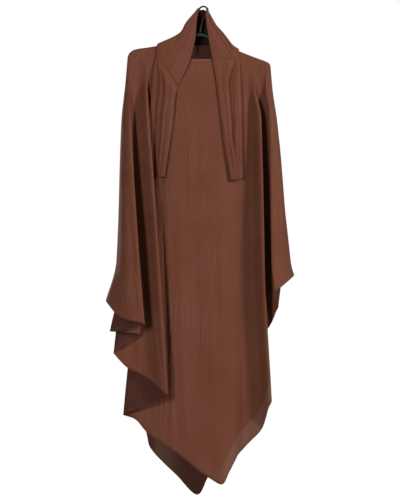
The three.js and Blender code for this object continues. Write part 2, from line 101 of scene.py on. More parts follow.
lamp("key_softbox", (3.2, -2.4, 0.9), (0, 0, -0.75), (0.5, 1.0), 146)
lamp("left_softbox", (-1.7, -3.6, 0.2), (0, 0, -0.75), (0.6, 1.2), 76)
lamp("back_softbox", (-2.2, 3.4, 0.7), (0, 0, -0.7), (0.7, 1.2), 90)

world = bpy.data.worlds.new("studio")
world.use_nodes = True
world.node_tree.nodes.clear()
tree = world.node_tree
path = add_node(tree, "ShaderNodeLightPath")
fill = add_node(tree, "ShaderNodeBackground", {"Color": (1, 1, 1, 1), "Strength": FILL_STRENGTH})
white = add_node(tree, "ShaderNodeBackground", {"Color": (1, 1, 1, 1), "Strength": BACKGROUND_STRENGTH})
mixed = add_node(tree, "ShaderNodeMixShader", None, {0: path.outputs["Is Camera Ray"],
                                                     1: fill.outputs[0], 2: white.outputs[0]})
add_node(tree, "ShaderNodeOutputWorld", None, {0: mixed.outputs[0]})
scene.world = world

floor_paint = new_material("pale_studio_floor")
tree = floor_paint.node_tree
paint = add_node(tree, "ShaderNodeBsdfPrincipled", {"Base Color": linear("#B8B8B6"), "Roughness": 0.9})
add_node(tree, "ShaderNodeOutputMaterial", None, {0: paint.outputs[0]})
floor_mesh = bpy.data.meshes.new("floor")
corners = [(-FLOOR_HALF, -FLOOR_HALF), (FLOOR_HALF, -FLOOR_HALF), (FLOOR_HALF, FLOOR_HALF),
           (-FLOOR_HALF, FLOOR_HALF)]
floor_mesh.from_pydata([(x, y, FLOOR_Z) for x, y in corners], [], [(0, 1, 2, 3)])
floor_mesh.materials.append(floor_paint)
floor = bpy.data.objects.new("floor", floor_mesh)
scene.collection.objects.link(floor)

# Front panel: one large piece of polyester crepe, cut as a cape front and sewn to the back along the
# shoulders and wings. It hangs over the hanger's arms in cascading folds that turn back on themselves.
CLOTH = 0.9            # thickness shown, in millimetres, of a crepe about 0.4 thick
TURN_RADIUS = 5
TURN_SHARE = 0.3
TURN_BESIDE = 0.15     # how far the points beside a turn count from it, in fold lines
LEAST_ANGLE = 0.01
CHEST_Z = -340
WAIST_Z = -760
NECKLINE_Z = -165
BACK_NECK_Z = -112
WING_SEAM_HALF = 0.3
SEAM_CORNER = 1.15
PANEL_DEPTH = 28
BACK_DEPTH = 24
PANEL_FALL = 240
LEFT_SINK = (13, -100, -160)
RIGHT_TROUGH = (9, 142, 27)
FOLD_START_DOWN, FOLD_START_SHARE, FOLD_START_DRIFT = 80, 0.25, 0.08
EDGE_DRIFT = 0.36      # the wing edges slope out from the shoulder at once
EDGE_NAMES = ("wing seam", "edge", "face")
HEM_ROWS = 150
ROW_SPREAD = 1.1
COLUMN_STEP = 4.2      # aim for the width of one column of cloth
LEAST_STEPS = 3

# The seam line over both shoulders: x and z.
SHOULDER = [
    (-227.5, -151), (-222, -138), (-205, -127), (-166, -120.5), (-139, -116),
    (-94, -97), (-60, -86), (-10, -73), (48, -101), (90, -124.5),
    (124, -139), (163, -154), (187, -163), (196, -168), (200.5, -175),
]
# How a panel rolls over the hanger's arm: distance down from the seam and out from it.
ROLL = [
    (0, 0.4), (0.7, 4), (5, 7.4), (15, 9),
]
FOLD_COLUMNS = ("name", "turn", "topX", "topZ", "chestX", "chestY", "waistX", "waistY",
                "hemX", "hemY", "hemZ")
FRONT_FOLDS = [dict(zip(FOLD_COLUMNS, row)) for row in (
    ("wing seam left", False, -227.5, None, -246, 0, -259.5, 0, -292.5, 0, -878),
    ("edge left", False, -226.5, None, -244, -18, -257, -40, -285, -46, -884),
    ("face of fold A", False, -225, None, -234, -36, -234, -80, -242, -88, -925),
    ("crest A", True, -221, None, -215.7, -45, -187.5, -98, -171.6, -105, -943),
    ("flap behind A", False, -216, None, -221, -32, -210, -70, -226, -80, -960),
    ("turn 2", True, -211, None, -228, -25, -236, -55, -275.7, -64, -967),
    ("tuck", True, -206, None, -217, -22, -204, -50, -186, -60, -975),
    ("turn 3", True, -201, None, -213, -15, -238, -38, -266, -46, -1032),
    ("under face", False, -195, None, -205, -12, -212, -30, -225, -38, -1077),
    ("hollow of fold B", False, -186, None, -186, -20, -170, -38, -166.5, -48, -1106),
    ("crest B", True, -172, None, -161.7, -45, -130.5, -70, -105.3, -76, -1154),
    ("flap behind B", False, -165, None, -171, -20, -162, -30, -172, -38, -1192),
    ("turn 1", True, -160, None, -186, -6, -200, -7, -240, -9, -1221),
    ("under B", False, -150, None, -164, -8, -165, -11, -203, -12, -1234),
    ("panel left", False, -128, None, -130, None, -122, None, -167.4, None, -1273),
    ("panel", False, -106, None, -100, None, -86, None, -91.5, None, -1325),
    ("neck curve left", False, -94, -101.5, -86, None, -78, None, -75, None, -1336),
    ("neck curve left", False, -80, -120, -70, None, -62, None, -57, None, -1350),
    ("neck curve left", False, -66, -142, -56, None, -48, None, -41, None, -1362),
    ("neckline end", False, -52, NECKLINE_Z, -42, None, -33, None, -24, None, -1376),
    ("neckline", False, -40, NECKLINE_Z, -26, None, -16, None, -8, None, -1389),
    ("neckline", False, -6, NECKLINE_Z, 6, None, 14, None, 22, None, -1409),
    ("front point", False, 27, NECKLINE_Z, 34, None, 42, None, 56, None, -1425),
    ("neckline end", False, 40, NECKLINE_Z, 54, None, 64, None, 76, None, -1391),
    ("neck curve right", False, 56, -150, 70, None, 80, None, 90, None, -1366),
    ("neck curve right", False, 74, -138, 85, None, 94, None, 104, None, -1342),
    ("neck curve right", False, 91, -129.5, 100, None, 108, None, 121, None, -1321),
    ("panel", False, 105, None, 114, None, 122, None, 137, None, -1301),
    ("panel right", False, 132, None, 140, None, 147, None, 172.5, None, -1261),
    ("crest R1", True, 150, None, 169.5, -44, 177, -60, 199.5, -60, -1177),
    ("flap behind R1", False, 154, None, 163, -18, 166, -14, 176, -13, -1104),
    ("tuck behind R1", True, 160, None, 149, -5, 134, -6, 112, -6, -1028),
    ("face R2", False, 168, None, 184, -6, 192, -8, 192, -14, -962),
    ("turn R2", True, 178, None, 211, -17, 236, -24, 222, -36, -896),
    ("crest R3", True, 186, None, 196, -42, 200, -74, 208.5, -80, -850),
    ("face R3", False, 194, None, 213, -34, 240, -62, 243, -64, -824),
    ("edge right", False, 199, None, 219, -14, 257, -32, 266, -34, -806),
    ("wing seam right", False, 200.5, None, 220.5, 0, 259.5, 0, 271.5, 0, -803),
)]


def smooth_track(knots):
    """A smooth curve through (place, value) knots with no swing past them."""
    at = np.array([k[0] for k in knots], float)
    value = np.array([k[1] for k in knots], float)
    slopes = np.diff(value) / np.diff(at)
    before, after = np.r_[slopes[0], slopes], np.r_[slopes, slopes[-1]]
    product = before * after
    total = np.where(before + after == 0, 1, before + after)
    tangents = np.where(product <= 0, 0, 2 * product / total)

    def track(place):
        place = np.clip(np.asarray(place, float), at[0], at[-1])
        i = np.clip(np.searchsorted(at, place, "left") - 1, 0, len(at) - 2)
        span = at[i + 1] - at[i]
        t = (place - at[i]) / span
        rise = t * t * (3 - 2 * t)
        bend = span * t * (1 - t) * ((1 - t) * tangents[i] - t * tangents[i + 1])
        return value[i] * (1 - rise) + value[i + 1] * rise + bend
    return track


shoulder_z = smooth_track(SHOULDER)
roll_out = smooth_track(ROLL)
ROLL_DOWN, ROLL_DEPTH = ROLL[-1]


def ease(value, start, end):
    t = np.clip((value - start) / (end - start), 0, 1)
    return t * t * (3 - 2 * t)


def front_out(x, z):
    """How far the flat of the front stands out from the seam plane."""
    fallen = ease(shoulder_z(x) - z, 0, PANEL_FALL)
    sink = LEFT_SINK[0] * ease(x, LEFT_SINK[1], LEFT_SINK[2])
    trough = RIGHT_TROUGH[0] * np.exp(-((x - RIGHT_TROUGH[1]) / RIGHT_TROUGH[2]) ** 2)
    return ROLL_DEPTH + (PANEL_DEPTH - ROLL_DEPTH - sink - trough) * fallen


def back_out(x, z):
    return ROLL_DEPTH + (BACK_DEPTH - ROLL_DEPTH) * ease(shoulder_z(x) - z, 0, PANEL_FALL)


def row_places():
    """Places down the roll over the arm, from 0 to 1, and down the fall, from 0 to 1."""
    roll = np.array([0, 0.15, 0.3, 0.45, 0.6, 0.8, 1])
    fall = (np.arange(1, HEM_ROWS + 1) / HEM_ROWS) ** ROW_SPREAD
    return np.r_[roll, np.ones(HEM_ROWS)], np.r_[np.zeros(len(roll)), fall]


def fold_line(fold, side, panel_out):
    """One fold line from its top to the hem, one point for each row."""
    on_arm = fold["topZ"] is None
    top = float(shoulder_z(fold["topX"])) if on_arm else fold["topZ"]
    length = top - fold["hemZ"]
    chest, waist = top - CHEST_Z, top - WAIST_Z
    drift = EDGE_DRIFT if fold["name"].startswith(EDGE_NAMES) else FOLD_START_DRIFT
    drifted = fold["topX"] + (fold["chestX"] - fold["topX"]) * drift
    x_at = smooth_track([(0, fold["topX"]), (FOLD_START_DOWN, drifted), (chest, fold["chestX"]),
                         (waist, fold["waistX"]), (length, fold["hemX"])])
    roll, fall = row_places()
    roll_down = np.interp(roll, np.linspace(0, 1, len(ROLL)), [r[0] for r in ROLL]) if on_arm \
        else ROLL_DOWN * roll
    down = np.where(fall > 0, ROLL_DOWN + (length - ROLL_DOWN) * fall, roll_down)
    x, z = x_at(down), top - down
    if fold["waistY"] is None:
        out = panel_out(x, z)
        if on_arm:
            out = np.where(down < ROLL_DOWN, roll_out(down), out)
    else:
        depths = [max(abs(fold[k]), WING_SEAM_HALF) for k in ("chestY", "waistY", "hemY")]
        if fold["waistY"] == 0:
            start = [(0, SEAM_CORNER), (ROLL[2][0], WING_SEAM_HALF)]
        else:
            share = ROLL_DEPTH + (depths[0] - ROLL_DEPTH) * FOLD_START_SHARE
            start = list(ROLL) + [(FOLD_START_DOWN, share)]
        out = smooth_track(start + [(chest, depths[0]), (waist, depths[1]), (length, depths[2])])(down)
    return np.stack([x, side * out, z], 1)


def rounded_turn(before, tip, after):
    """The fold's tip with a point beside it on each leg, laid out in plan."""
    leg_in, leg_out = (before - tip)[:, :2], (after - tip)[:, :2]
    lengths = [np.linalg.norm(leg, axis=1) for leg in (leg_in, leg_out)]
    radius = np.minimum(TURN_RADIUS, TURN_SHARE * np.minimum(*lengths))
    leg_in, leg_out = leg_in / lengths[0][:, None], leg_out / lengths[1][:, None]
    across = leg_in - leg_out
    across /= np.maximum(np.linalg.norm(across, axis=1), 1e-9)[:, None]
    inward = leg_in + leg_out
    size = np.linalg.norm(inward, axis=1)
    half = np.arccos(np.clip(size / 2, 0, 1))
    reach = radius * np.minimum(1, 1 / np.tan(np.maximum(half, LEAST_ANGLE)))
    inward = inward / np.maximum(size, 1e-9)[:, None] * reach[:, None]
    sides = []
    for sign, neighbour, length in ((1, before, lengths[0]), (-1, after, lengths[1])):
        offset = inward + across * (sign * radius)[:, None]
        share = np.minimum(1, np.linalg.norm(offset, axis=1) / length)
        z = tip[:, 2] + (neighbour[:, 2] - tip[:, 2]) * share
        sides.append(np.stack([tip[:, 0] + offset[:, 0], tip[:, 1] + offset[:, 1], z], 1))
    return [sides[0], tip, sides[1]]


def curve_through(points, places):
    """Centripetal curves through points[row][knot], read at places counted in knots."""
    first = 2 * points[:, :1] - points[:, 1:2]
    last = 2 * points[:, -1:] - points[:, -2:-1]
    p = np.concatenate([first, points, last], 1)
    gap = np.sqrt(np.linalg.norm(np.diff(p, axis=1), axis=2))
    i = np.clip(np.floor(places).astype(int), 0, points.shape[1] - 2)
    t = (places - i)[None, :, None]
    p0, p1, p2, p3 = p[:, i], p[:, i + 1], p[:, i + 2], p[:, i + 3]
    d1 = np.maximum(gap[:, i + 1], 1e-4)[..., None]
    d0, d2 = np.maximum(gap[:, i], 1e-4)[..., None], np.maximum(gap[:, i + 2], 1e-4)[..., None]
    m1 = ((p1 - p0) / d0 - (p2 - p0) / (d0 + d1) + (p2 - p1) / d1) * d1
    m2 = ((p2 - p1) / d1 - (p3 - p1) / (d1 + d2) + (p3 - p2) / d2) * d1
    return (p1 + m1 * t + (-3 * p1 + 3 * p2 - 2 * m1 - m2) * t ** 2
            + (2 * p1 - 2 * p2 + m1 + m2) * t ** 3)


def panel_grid(folds, side, panel_out):
    """All points of a panel by row and column, and each column's place counted in fold lines."""
    lines = [fold_line(fold, side, panel_out) for fold in folds]
    knots, on_arm, number = [], [], []
    for i, fold in enumerate(folds):
        added = rounded_turn(lines[i - 1], lines[i], lines[i + 1]) if fold["turn"] else [lines[i]]
        knots += added
        on_arm += [fold["topZ"] is None] * len(added)
        number += [i - TURN_BESIDE, i, i + TURN_BESIDE] if fold["turn"] else [i]
    points = np.stack(knots, 1)
    widths = np.linalg.norm(np.diff(points, axis=1), axis=2)[HEM_ROWS // 4:].mean(0)
    steps = np.maximum(LEAST_STEPS, np.round(widths / COLUMN_STEP)).astype(int)
    places = np.concatenate([np.arange(n) / n + i for i, n in enumerate(steps)] + [[len(steps)]])
    grid = curve_through(points, places)
    held = np.array([on_arm[int(np.floor(p))] and on_arm[int(np.ceil(p))] for p in places])
    roll = row_places()[0]
    rolled = np.interp(roll, np.linspace(0, 1, len(ROLL)), [r[0] for r in ROLL])
    for row in np.flatnonzero(row_places()[1] == 0):
        grid[row, held, 2] = shoulder_z(grid[row, held, 0]) - rolled[row]
        depth = np.minimum(np.abs(grid[row, held, 1]), roll_out(rolled[row]))
        grid[row, held, 1] = side * depth
    return grid, np.interp(places, np.arange(len(number)), number)


def normals_of(grid):
    down = np.gradient(grid, axis=0)
    along = np.gradient(grid, axis=1)
    normal = np.cross(down, along)
    return normal / np.maximum(np.linalg.norm(normal, axis=2), 1e-9)[..., None]


CREASE_COLUMNS = ("first", "last", "x0", "z0", "x1", "z1", "width", "depth")
CREASE_AT_ENDS = 0.35  # share of a crease's depth that is left at its ends


def press_creases(grid, number, names, rows, side):
    """Presses soft troughs and ridges into the cloth between two named fold lines, along its normal."""
    height = np.zeros(grid.shape[:2])
    for row in rows:
        crease = dict(zip(CREASE_COLUMNS, row))
        start = np.array([crease["x0"], crease["z0"]], float)
        along = np.array([crease["x1"], crease["z1"]], float) - start
        reach = np.linalg.norm(along)
        along /= reach
        place = grid[..., [0, 2]] - start
        run = place @ along
        off = np.abs(place @ np.array([-along[1], along[0]]))
        share = np.clip(run / reach, 0, 1)
        past = np.maximum(np.maximum(-run, run - reach), 0)
        swell = CREASE_AT_ENDS + (1 - CREASE_AT_ENDS) * np.sin(np.pi * share)
        fade = np.exp(-(past / (crease["width"] * 2)) ** 2) * swell
        mark = crease["depth"] * fade * np.exp(-(off / crease["width"]) ** 2)
        first = names.index(crease["first"])
        last = len(names) - 1 - names[::-1].index(crease["last"])
        height += mark * ((number >= first) & (number <= last))[None, :]
    outward = normals_of(grid)
    outward *= np.where(outward[..., 1:2] * side < 0, -1, 1)
    return grid + outward * height[..., None]


def cloth_object(name, grid, material, reverse, thickness=CLOTH, light=None):
    """A cloth shell on a grid in millimetres, with its face and reverse side; the reverse material is a
    darker painted shade. Its UV map is the cloth's own width and length in metres, and the light values
    lighten the colour where they are set, as painted light."""
    rows, cols = grid.shape[:2]
    mesh = bpy.data.meshes.new(name)
    across = np.linalg.norm(np.diff(grid, axis=1), axis=2).mean(0)
    downward = np.linalg.norm(np.diff(grid, axis=0), axis=2).mean(1)
    u = np.r_[0, np.cumsum(across)] * MM
    v = np.r_[0, np.cumsum(downward)] * MM
    index = np.arange(rows * cols).reshape(rows, cols)
    quads = np.stack([index[:-1, :-1], index[1:, :-1], index[1:, 1:], index[:-1, 1:]], -1).reshape(-1, 4)
    mesh.from_pydata((grid.reshape(-1, 3) * MM).tolist(), [], quads.tolist())
    uv = mesh.uv_layers.new(name="cut")
    flat = np.stack([np.broadcast_to(u, (rows, cols)), -np.broadcast_to(v[:, None], (rows, cols))], -1)
    loops = np.empty(len(mesh.loops), np.int32)
    mesh.loops.foreach_get("vertex_index", loops)
    uv.data.foreach_set("uv", flat.reshape(-1, 2)[loops].astype(np.float32).ravel())
    # The light values are kept as a point attribute that lightens the colour: painted light.
    light_through_attribute = mesh.attributes.new("painted_light_through", "FLOAT", "POINT")
    values = np.zeros((rows, cols)) if light is None else light
    light_through_attribute.data.foreach_set("value", values.astype(np.float32).ravel())
    mesh.materials.append(material)
    mesh.materials.append(reverse)
    mesh.polygons.foreach_set("use_smooth", np.ones(len(mesh.polygons), bool))
    piece = bpy.data.objects.new(name, mesh)
    scene.collection.objects.link(piece)
    wall = piece.modifiers.new("thickness", "SOLIDIFY")
    wall.thickness = thickness * MM
    wall.offset = 0
    wall.material_offset = 1
    return piece


# Polyester crepe, piece-dyed brown: twisted yarn gives a dry, grainy hand and a faint sheen at a glancing
# view, and washing leaves fine lengthwise crinkles. Grain is drawn coarser than real so that it shows.
CRINKLE = (0.0065, 0.085)  # width and length of a crinkle in metres
GRAIN = 0.0022             # one bump of the crepe grain, about twice the real one
MOTTLE = 0.11              # patches where the dye and the light differ


def crepe(name, dark, mid, light, crinkle_height=0.0017):
    material = new_material(name)
    tree = material.node_tree
    place = add_node(tree, "ShaderNodeTexCoord")
    long_wise = add_node(tree, "ShaderNodeMapping", {"Scale": (1 / CRINKLE[0], 1 / CRINKLE[1], 1)},
                         {"Vector": place.outputs["UV"]})
    crinkle = add_node(tree, "ShaderNodeTexNoise", {"Scale": 1.0, "Detail": 3.0, "Roughness": 0.55},
                       {"Vector": long_wise.outputs[0]})
    patches = add_node(tree, "ShaderNodeTexNoise", {"Scale": 1 / MOTTLE, "Detail": 2.0},
                       {"Vector": place.outputs["Object"]})
    sharp = add_node(tree, "ShaderNodeMapRange", {"From Min": 0.42, "From Max": 0.68},
                     {"Value": crinkle.outputs[0]}, interpolation_type="SMOOTHSTEP")
    where = add_node(tree, "ShaderNodeMapRange", {"From Min": 0.38, "From Max": 0.62, "To Min": 0.15},
                     {"Value": patches.outputs[0]})
    pressed = add_node(tree, "ShaderNodeMath", None, {0: sharp.outputs[0], 1: where.outputs[0]},
                       operation="MULTIPLY")
    grain = add_node(tree, "ShaderNodeTexNoise", {"Scale": 1 / GRAIN, "Detail": 2.0},
                     {"Vector": place.outputs["Object"]})
    tone = add_node(tree, "ShaderNodeMapRange", {"From Min": 0.3, "From Max": 0.75},
                    {"Value": patches.outputs[0]})
    body = add_node(tree, "ShaderNodeMix", {6: linear(dark), 7: linear(mid)}, {0: tone.outputs[0]},
                    data_type="RGBA")
    # The crinkle ridges are mixed toward the light colour: a painted highlight.
    crinkle_highlight = add_node(tree, "ShaderNodeMath", {1: 0.14}, {0: pressed.outputs[0]}, operation="MULTIPLY")
    crinkle_highlighted = add_node(tree, "ShaderNodeMix", {7: linear(light)},
                        {0: crinkle_highlight.outputs[0], 6: body.outputs[2]}, data_type="RGBA")
    # Where the cloth carries light values, its colour is mixed toward a pale tan: painted light, for light
    # through a single layer and the lit neck band edge.
    thin = add_node(tree, "ShaderNodeAttribute", attribute_name="painted_light_through")
    colour = add_node(tree, "ShaderNodeMix", {7: linear("#7A5B4C")},
                      {0: thin.outputs["Fac"], 6: crinkle_highlighted.outputs[2]}, data_type="RGBA")
    crinkled = add_node(tree, "ShaderNodeBump", {"Strength": 0.6, "Distance": crinkle_height},
                        {"Height": pressed.outputs[0]})
    grained = add_node(tree, "ShaderNodeBump", {"Strength": 0.35, "Distance": 0.0004},
                       {"Height": grain.outputs[0], "Normal": crinkled.outputs[0]})
    shader = add_node(tree, "ShaderNodeBsdfPrincipled", {
        "Roughness": 0.78, "Specular IOR Level": 0.18, "Sheen Weight": 0.14, "Sheen Roughness": 0.45,
        "Sheen Tint": linear("#C9A08C")},
        {"Base Color": colour.outputs[2], "Normal": grained.outputs[0]})
    add_node(tree, "ShaderNodeOutputMaterial", None, {0: shader.outputs[0]})
    return material


# Each crepe's third colour is the painted highlight of its crinkle ridges.
crepe_cloth = crepe("brown_polyester_crepe", "#663826", "#6D402F", "#80503F")
# The reverse side is painted much darker than the face: painted shade on the inner side of every shell.
crepe_reverse_painted_shade = crepe("brown_crepe_reverse_painted_shade", "#47251B", "#4E2A20", "#5C352A")

# Creases of the front, between two named fold lines: ends, half width and depth, out of the cloth or in.
FRONT_CREASES = (
    ("turn 3", "panel", -172, -128, -160, -147, 3.5, -2.6),
    ("turn 3", "panel", -163, -126, -149, -145, 3.5, -2.8),
    ("turn 3", "panel", -154, -128, -139, -144, 3, -2.2),
    ("turn 3", "panel", -178, -140, -172, -156, 4, -1.6),
    ("panel left", "neckline end", -150, -190, -142, -300, 7, -2.2),
    ("panel", "panel right", -70, -560, -58, -1240, 15, 3.4),
    ("panel", "panel right", -24, -660, -14, -1180, 13, -2.8),
    ("panel", "panel right", 62, -560, 52, -980, 13, 3.2),
    ("panel", "panel right", 20, -780, 34, -1260, 11, 2.2),
    ("panel left", "neckline end", -118, -700, -98, -1190, 8, -2.4),
    ("panel left", "neckline end", -104, -880, -92, -1280, 6, 1.9),
    ("panel", "neckline", -84, -1180, -70, -1310, 5, -1.6),
    ("panel", "neckline", -60, -1150, -44, -1320, 4.5, 1.5),
    ("panel", "neckline", -44, -380, -40, -610, 5, 1.3),
    ("neckline", "neckline", -18, -360, -20, -540, 4, -1.1),
    ("neckline", "neckline", 2, -400, -2, -600, 4.5, 1.2),
    ("neckline end", "panel", 54, -1120, 46, -1330, 8, -2.2),
    ("panel", "panel right", 124, -180, 132, -560, 9, 1.8),
    ("panel", "panel right", 112, -152, 136, -160, 4, -1.8),
    ("panel", "panel right", 116, -186, 130, -194, 3.5, -1.8),
    ("panel", "crest R1", 102, -290, 96, -1540, 32, -15),
    ("panel", "crest R1", 100, -1130, 90, -1420, 26, -10),
    ("crest B", "panel", -134, -260, -108, -1150, 8, -3.5),
    ("crest B", "crest B", -140, -620, -118, -1080, 7, 1.2),
    ("hollow of fold B", "crest B", -150, -860, -128, -1120, 6, 2.0),
    ("hollow of fold B", "crest B", -140, -900, -118, -1130, 4.5, -1.5),
    ("edge left", "crest A", -236, -480, -222, -900, 12, 2.4),
    ("edge left", "crest A", -216, -600, -192, -940, 8, -2.0),
    ("edge left", "face of fold A", -250, -640, -262, -880, 9, -2.2),
    ("turn 3", "hollow of fold B", -226, -960, -236, -1060, 9, 2.2),
    ("turn 3", "hollow of fold B", -206, -940, -212, -1080, 7, -2.0),
    ("turn R2", "wing seam right", 224, -420, 236, -790, 9, 2.0),
    ("turn R2", "wing seam right", 212, -500, 222, -820, 6, -1.8),
    ("face R3", "wing seam right", 246, -640, 256, -800, 6, 1.8),
    ("crest R1", "tuck behind R1", 176, -500, 182, -1100, 6, 1.4),
)

front_grid, front_number = panel_grid(FRONT_FOLDS, -1, front_out)
front_names = [fold["name"] for fold in FRONT_FOLDS]
front_grid = press_creases(front_grid, front_number, front_names, FRONT_CREASES, -1)

# Only one layer hangs below the back on the right, so more light comes through it there; that light is
# painted as a lighter colour along the strip.
SINGLE_STRIP = 58
SINGLE_STRIP_SOFT = (5, 3)  # millimetres over which the strip fades, below its edge and above
FRONT_PAINTED_LIGHT = 0.42
hem_height = front_grid[..., 2] - front_grid[-1:, :, 2]
from_point = front_names.index("front point")
to_crest = front_names.index("crest R1")
beside = ease(front_number, from_point - 0.4, from_point + 0.6) * (front_number < to_crest + 0.2)
strip_fade = ease(hem_height, SINGLE_STRIP - SINGLE_STRIP_SOFT[0], SINGLE_STRIP + SINGLE_STRIP_SOFT[1])
front_painted_light = (1 - strip_fade) * beside[None, :] * FRONT_PAINTED_LIGHT
front = cloth_object("front_panel_cloth", front_grid, crepe_cloth, crepe_reverse_painted_shade, light=front_painted_light)
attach(front, "root")
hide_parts("front_panel")

# Back panel: cut like the front but longer at its point, and hung with its own folds on each wing.
BACK_STRIP = (60, 95)      # the strip above the hem that only one layer covers, painted lighter for the light through it, and where it fades
BACK_PAINTED_LIGHT = 0.4
BACK_FOLDS = [dict(zip(FOLD_COLUMNS, row)) for row in (
    ("wing seam right", False, 200.5, None, 220.5, 0, 259.5, 0, 271.5, 0, -803),
    ("edge right", False, 199, None, 219, 14, 254, 30, 262, 32, -808),
    ("face S1", False, 196, None, 211, 31, 236, 64, 236, 68, -838),
    ("crest S1", True, 189, None, 198, 42, 194, 84, 186, 88, -880),
    ("turn S1", True, 182, None, 206, 25, 224, 44, 186, 52, -945),
    ("hollow S2", False, 174, None, 184, 13, 178, 34, 156, 42, -1010),
    ("crest S2", True, 158, None, 156, 44, 138, 68, 116, 72, -1062),
    ("turn S2", True, 148, None, 174, 12, 174, 14, 172, 16, -1130),
    ("panel right", False, 122, None, 130, None, 134, None, 150, None, -1196),
    ("panel", False, 84, None, 90, None, 94, None, 106, None, -1276),
    ("neck curve right", False, 73, -121, 76, None, 78, None, 86, None, -1308),
    ("panel", False, 40, BACK_NECK_Z, 46, None, 48, None, 52, None, -1362),
    ("panel", False, 4, BACK_NECK_Z, 8, None, 8, None, 14, None, -1412),
    ("back point", False, -20, BACK_NECK_Z, -20, None, -20, None, -17.7, None, -1466),
    ("panel", False, -52, BACK_NECK_Z, -56, None, -62, None, -81, None, -1407),
    ("neck curve left", False, -80, -103, -84, None, -90, None, -118, None, -1372),
    ("panel", False, -94, None, -104, None, -108, None, -148.5, None, -1340),
    ("panel left", False, -124, None, -134, 21, -144, 19, -163, 12, -1316),
    ("turn S3", True, -144, None, -170, 12, -180, 12, -172, 9, -1272),
    ("crest S3", True, -157, None, -150, 42, -134, 64, -118, 68, -1190),
    ("hollow S3", False, -174, None, -180, 14, -176, 36, -172, 42, -1128),
    ("turn S4", True, -190, None, -216, 22, -234, 38, -222, 46, -1058),
    ("crest S4", True, -206, None, -206, 44, -188, 88, -166, 92, -976),
    ("face S4", False, -219, None, -228, 34, -232, 68, -238, 72, -936),
    ("edge left", False, -226, None, -244, 16, -257, 32, -282, 34, -888),
    ("wing seam left", False, -227.5, None, -246, 0, -259.5, 0, -292.5, 0, -878),
)]
BACK_CREASES = (
    ("turn S2", "turn S3", 96, -480, 88, -1100, 15, 3.2),
    ("turn S2", "turn S3", 58, -420, 64, -1000, 13, -2.8),
    ("turn S2", "turn S3", 16, -560, 8, -1250, 16, 3.0),
    ("turn S2", "turn S3", -34, -500, -46, -1180, 13, -3.2),
    ("turn S2", "turn S3", -84, -620, -100, -1260, 14, 2.8),
    ("turn S2", "turn S3", -58, -300, -66, -700, 8, 1.6),
    ("turn S2", "turn S3", 34, -260, 36, -560, 7, -1.5),
    ("turn S2", "turn S3", 118, -700, 116, -1050, 9, -2.2),
    ("turn S2", "turn S3", -14, -1180, -16, -1400, 9, -2.0),
    ("turn S2", "turn S3", -120, -900, -134, -1280, 8, 1.8),
    ("turn S2", "turn S3", 120, -160, 104, -190, 4, -2.2),
    ("turn S2", "turn S3", -128, -136, -112, -168, 4, -2.4),
    ("wing seam right", "crest S1", 226, -420, 234, -800, 10, 2.4),
    ("wing seam right", "crest S1", 240, -560, 248, -800, 7, -2.0),
    ("turn S1", "crest S2", 168, -600, 166, -960, 8, 2.0),
    ("turn S3", "turn S4", -166, -620, -158, -1100, 9, -2.2),
    ("crest S4", "wing seam left", -226, -500, -222, -920, 12, 2.6),
    ("crest S4", "wing seam left", -246, -600, -262, -880, 8, -2.2),
)
back_grid, back_number = panel_grid(BACK_FOLDS, 1, back_out)
back_names = [fold["name"] for fold in BACK_FOLDS]
back_grid = press_creases(back_grid, back_number, back_names, BACK_CREASES, 1)
back_rise = back_grid[..., 2] - back_grid[-1:, :, 2]
back_point = back_names.index("back point")
left_side = ease(back_number, back_point + 0.5, back_point + 2)
left_side = left_side * (back_number < back_names.index("turn S3"))
# Painted light: the single layer of the back is lightened along this strip.
back_painted_light = (1 - ease(back_rise, *BACK_STRIP)) * left_side[None, :] * BACK_PAINTED_LIGHT
back = cloth_object("back_panel_cloth", back_grid, crepe_cloth, crepe_reverse_painted_shade, light=back_painted_light)
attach(back, "root")
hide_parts("back_panel")

# Hood: two halves joined by the seam down the middle of the back. It is hung over the hook, so its face
# edges fall together in front and its lower front corners lap over the shoulders.
HOOD_BACK_SPREAD = 0.55
HOOD_BACK_SAG = 2
HOOD_SEAM_HALF = -0.35    # the two halves lap by a hair in their seam
HOOD_TOP_RISE = ((0, 19), (1, 13), (2, 5))  # the cloth gathered behind the hook, by table row
LAP_BULGE = (1, 0.01)
LAP_EDGE = (14, 0.5)
RIDGE_ROUND = 0.75
RIDGE_DROP = 0.45
HOOD_ROWS = 90
HOOD_STEPS = 12
HOOD_SPANS = 7
HOOD_RISE_SHARES = np.array([0.3, 0.7, 1])
HOOD_COLUMNS = ("faceX", "faceY", "faceZ", "lapX", "lapY", "lapZ", "ridgeX", "ridgeZ", "backY",
                "middleY", "middleZ")
HOOD_LEFT_ROWS = [dict(zip(HOOD_COLUMNS, row)) for row in (
    (-14, -7, -3, -19, -6, -6, -21.5, -12, 7, 8, -24),
    (-17, -9, -18, -29, -9, -20, -34, -23.5, 9, 11, -36),
    (-20.5, -13, -40, -47, -12, -46, -53, -46, 12, 14, -52),
    (-23, -17, -70, -65, -13, -78, -68, -73, 12, 17, -66),
    (-26, -20, -100, -89, -14, -104, -90, -88, 13, 18, -80),
    (-34, -23, -135, -112, -15, -117, -112, -98, 13, 19, -92),
    (-45, -25, -172, -128, -14.5, -128, -128, -105, 13.5, 20, -102),
    (-76.5, -25.7, -242, -139, -12.9, -140, -139, -110.5, 13, 12.2, -116),
)]
HOOD_RIGHT_ROWS = [dict(zip(HOOD_COLUMNS, row)) for row in (
    (8.5, -7, -3, 14, -6, -11, 19, -21, 7, 8, -24),
    (7, -9, -24, 24, -9, -30, 28, -35, 9, 11, -36),
    (9.5, -13, -50, 36, -12, -56, 40, -54.5, 12, 14, -52),
    (13.5, -17, -80, 55, -13, -80, 57, -73.5, 12, 17, -66),
    (17.5, -19, -106, 72, -13, -106, 73, -94, 13, 18, -80),
    (22.5, -18.5, -134, 88, -14, -132, 87, -112, 13, 19, -92),
    (28.5, -17.1, -164, 106.5, -12.9, -150, 106, -125.5, 13, 12.2, -116),
)]


